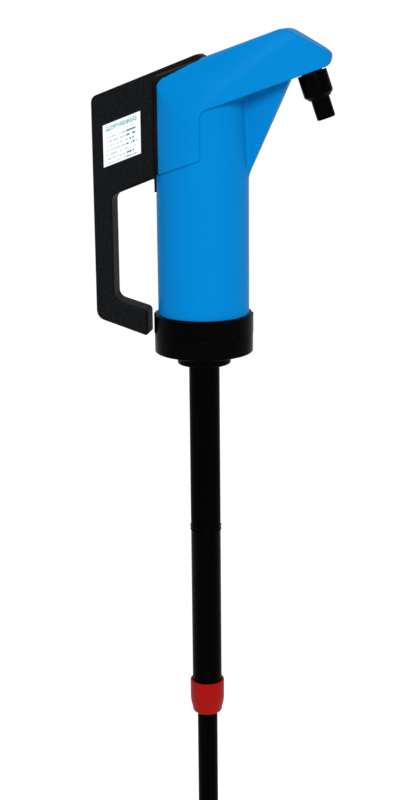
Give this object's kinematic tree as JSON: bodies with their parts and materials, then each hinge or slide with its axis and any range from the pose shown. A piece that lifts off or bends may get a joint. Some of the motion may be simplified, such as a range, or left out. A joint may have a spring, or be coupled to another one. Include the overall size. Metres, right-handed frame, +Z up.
{
  "type": "lever drum pump",
  "caption": "Hand lever drum pump: round housing with a beaked hood and spout, C-shaped lever handle, ribbed union nut and telescopic suction tube with a clamp nut.",
  "frame": {"origin": "on the pump axis, at the underside of the union nut, the face that seats on the drum's bung", "axes": "+Z up along the pump axis, +X towards the spout, +Y across the pump"},
  "size_m": [0.2452, 0.103, 0.8858],
  "materials": {
    "housing_plastic": "satin moulded blue polypropylene, fine even texture",
    "lever_plastic": "black moulded plastic with a fine spark-eroded grain",
    "label_film": null,
    "natural_plastic": "natural off-white moulded polypropylene",
    "steel": "ground stainless steel",
    "seal_rubber": "matt black elastomer",
    "gloss_black": "smooth glossy black moulded plastic",
    "valve_ball": "clear polished glass",
    "tube_plastic": "smooth extruded black tube with faint draw lines",
    "clamp_red": "satin red moulded plastic"
  },
  "bodies": {
    "housing": {"pump_body": "housing_plastic", "hood_cover": "housing_plastic", "pivot_pin": "steel", "cylinder_liner": "natural_plastic", "cylinder_head": "natural_plastic", "rod_gland": "gloss_black", "rod_seal": "seal_rubber", "outlet_duct": "natural_plastic", "spout_collar": "gloss_black", "spout_seal": "seal_rubber", "spout_nozzle": "gloss_black", "base_flange": "gloss_black", "base_gasket": "seal_rubber", "valve_cage": "natural_plastic", "outer_tube": "tube_plastic", "clamp_collet": "natural_plastic", "clamp_seal": "seal_rubber"},
    "lever": {"lever_handle": "lever_plastic", "lever_label": "label_film", "pivot_bush_left": "natural_plastic", "pivot_bush_right": "natural_plastic"},
    "piston_assembly": {"piston_rod": "steel", "rod_pin": "steel", "piston": "natural_plastic", "piston_seal": "seal_rubber", "piston_nut": "steel"},
    "piston_valve_disc": {"piston_valve": "seal_rubber"},
    "suction_valve_ball": {"suction_ball": "valve_ball"},
    "union_ring": {"union_nut": "gloss_black"},
    "tube_clamp": {"clamp_nut": "clamp_red"},
    "lower_tube": {"inner_tube": "tube_plastic", "tube_stop_ring": "natural_plastic"}
  },
  "joints": [
    {"name": "lever_swing", "type": "hinge", "parent": "housing", "child": "lever", "pos_m": [0.038, 0, 0.2965], "axis": [0, 1, 0], "range_deg": [0, 60]},
    {"name": "piston_stroke", "type": "slide", "parent": "housing", "child": "piston_assembly", "axis": [0, 0, 1], "range_m": [0, 0.0445]},
    {"name": "piston_valve_lift", "type": "slide", "parent": "piston_assembly", "child": "piston_valve_disc", "axis": [0, 0, 1], "range_m": [0, 0.003]},
    {"name": "suction_ball_lift", "type": "slide", "parent": "housing", "child": "suction_valve_ball", "axis": [0, 0, 1], "range_m": [0, 0.0075]},
    {"name": "union_nut_turn", "type": "hinge", "parent": "housing", "child": "union_ring", "pos_m": [0, 0, 0.02], "axis": [0, 0, 1], "range_deg": [0, 90]},
    {"name": "clamp_nut_turn", "type": "hinge", "parent": "housing", "child": "tube_clamp", "pos_m": [0, 0, -0.395], "axis": [0, 0, 1], "range_deg": [0, 120]},
    {"name": "tube_telescope", "type": "slide", "parent": "housing", "child": "lower_tube", "axis": [0, 0, -1], "range_m": [0, 0.31]}
  ],
  "couplings": [
    {"joint": "piston_stroke", "follows": "lever_swing", "m_per_rad": 0.04249}
  ]
}
